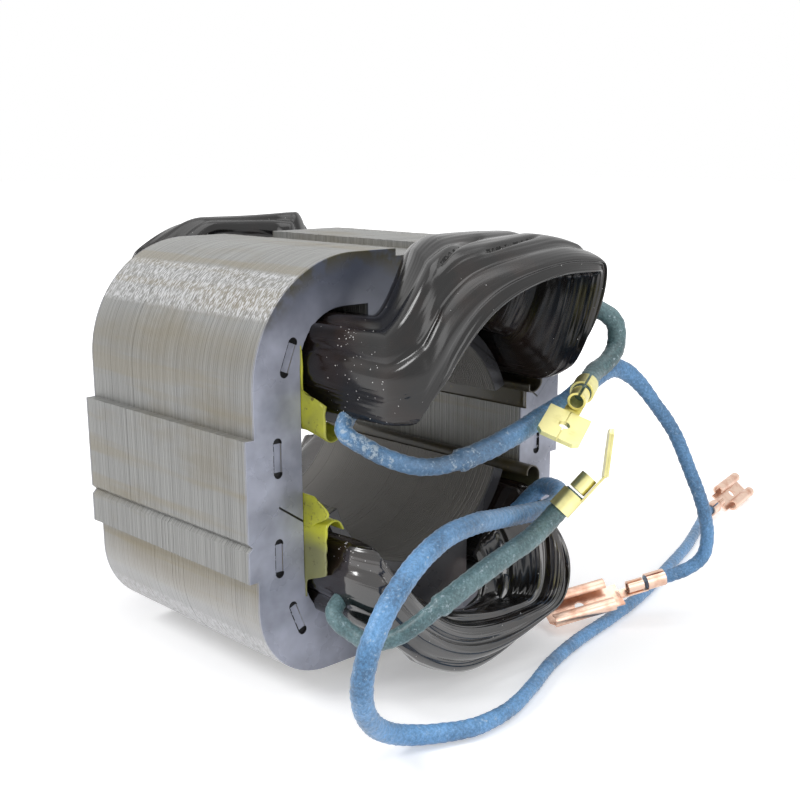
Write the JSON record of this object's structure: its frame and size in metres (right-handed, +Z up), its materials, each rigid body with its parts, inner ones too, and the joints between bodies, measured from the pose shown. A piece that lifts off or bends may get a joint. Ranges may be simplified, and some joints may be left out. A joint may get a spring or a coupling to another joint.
{
  "type": "wound motor stator",
  "caption": "Two-pole universal-motor field: laminated steel core with a round bore, varnished saddle windings, slot liners and sleeved leads ending in push-on terminals.",
  "frame": {"origin": "centre of the bore, half way along the lamination stack", "axes": "+X along the bore towards the end where the leads come out, +Z up through the upper pole, +Y to the right seen from the lead end"},
  "size_m": [0.0961, 0.1719, 0.0752],
  "materials": {
    "lamination_steel": "varnished stamped sheet edges",
    "winding_varnish": "glossy dark insulating varnish over enamelled wire",
    "liner_film": "yellow-green insulating film",
    "blue_sleeve": "varnished braided sleeve",
    "teal_sleeve": "varnished braided sleeve",
    "brass_sheet": "stamped sheet",
    "copper_sheet": "stamped copper-coloured sheet"
  },
  "bodies": {
    "root": {"core_upper": "lamination_steel", "core_lower": "lamination_steel", "coil_upper": "winding_varnish", "coil_lower": "winding_varnish", "liner_upper_left": "liner_film", "liner_upper_right": "liner_film", "liner_lower_left": "liner_film", "liner_lower_right": "liner_film", "lead_upper_blue": "blue_sleeve", "lead_upper_teal": "teal_sleeve", "lead_lower_teal": "teal_sleeve", "lead_lower_blue": "blue_sleeve", "terminal_upper_brass": "brass_sheet", "terminal_lower_brass": "brass_sheet", "terminal_upper_copper": "copper_sheet", "terminal_lower_copper": "copper_sheet"}
  },
  "joints": []
}
